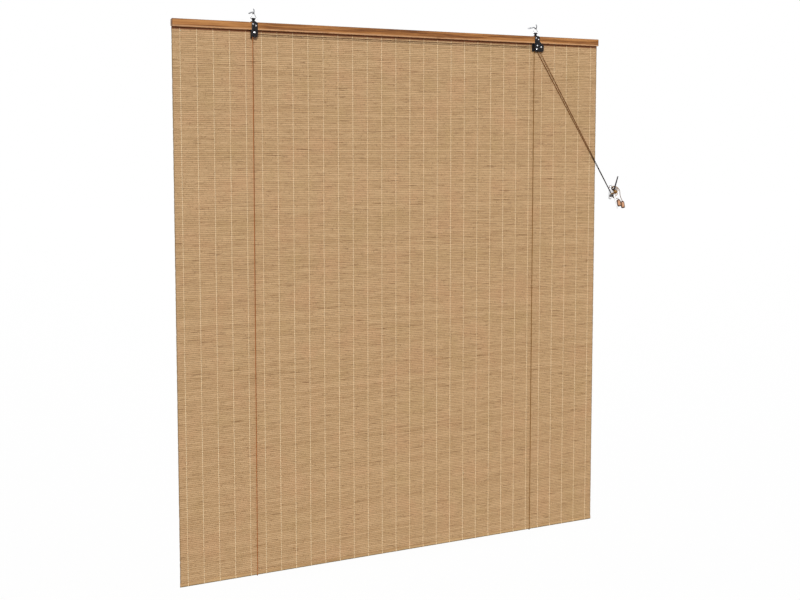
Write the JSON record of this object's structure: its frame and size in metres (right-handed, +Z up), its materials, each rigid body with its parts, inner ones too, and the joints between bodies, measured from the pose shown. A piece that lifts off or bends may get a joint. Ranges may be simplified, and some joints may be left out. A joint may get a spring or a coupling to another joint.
{
  "type": "bamboo roll-up blind",
  "caption": "Woven bamboo roll-up blind on a wooden head rail, hung by wire rings on screw hooks, with cord lock, lift cords, wall cleat and wooden tassels.",
  "frame": {"origin": "on the wall face, midway between the axes of the two hook shanks", "axes": "+X along the head rail to the right as seen from the room, +Y into the wall, +Z up"},
  "size_m": [1.5089, 0.0752, 1.6408],
  "materials": {
    "hook_steel": "zinc-plated wire",
    "ring_steel": "bright wire",
    "cleat_metal": "satin metal",
    "cord": "braided brown cord",
    "tassel_wood": "varnished turned wood",
    "rail_wood": "stained wood with a satin varnish",
    "batten_wood": "plain wood",
    "fastener_steel": "bright zinc",
    "bracket_metal": "black paint on folded steel",
    "dark_pin": "blackened steel",
    "sheave_plastic": "brown moulded plastic",
    "cam_brass": "plain brass",
    "bamboo": "split bamboo with a dull sheen"
  },
  "bodies": {
    "wall_fittings": {"screw_hook_left": "hook_steel", "screw_hook_right": "hook_steel", "ring_left": "ring_steel", "ring_right": "ring_steel", "cord_cleat": "cleat_metal", "pull_cord_left": "cord", "pull_cord_right": "cord", "tassel_left": "tassel_wood", "tassel_right": "tassel_wood"},
    "blind": {"head_rail": "rail_wood", "back_batten": "batten_wood", "batten_nails": "fastener_steel", "bracket_left": "bracket_metal", "bracket_right": "bracket_metal", "bracket_screws": "fastener_steel", "spacer_rivets": "fastener_steel", "sheave_axle_left": "dark_pin", "sheave_axle_right": "fastener_steel", "cam_pivot": "fastener_steel", "bamboo_mat": "bamboo", "bottom_slat": "bamboo", "lift_cord_left": "cord", "lift_cord_right": "cord", "cord_staples": "fastener_steel"},
    "left_sheave": {"sheave_left": "sheave_plastic"},
    "right_sheave": {"sheave_right": "sheave_plastic"},
    "cam": {"lock_cam": "cam_brass"}
  },
  "joints": [
    {"name": "blind_swing", "type": "hinge", "parent": "wall_fittings", "child": "blind", "pos_m": [0, -0.018, -0.0195], "axis": [-1, 0, 0], "range_deg": [0, 25], "deforming": ["pull_cord_left", "pull_cord_right"]},
    {"name": "left_sheave_turn", "type": "hinge", "parent": "blind", "child": "left_sheave", "pos_m": [-0.466, -0.0253, -0.0695], "axis": [0, 1, 0], "continuous": true},
    {"name": "right_sheave_turn", "type": "hinge", "parent": "blind", "child": "right_sheave", "pos_m": [0.464, -0.0253, -0.0695], "axis": [0, 1, 0], "continuous": true},
    {"name": "cam_turn", "type": "hinge", "parent": "blind", "child": "cam", "pos_m": [0.48, -0.0253, -0.0635], "axis": [0, 1, 0], "range_deg": [-35, 14]}
  ],
  "couplings": [
    {"joint": "right_sheave_turn", "follows": "left_sheave_turn", "ratio": 1}
  ]
}
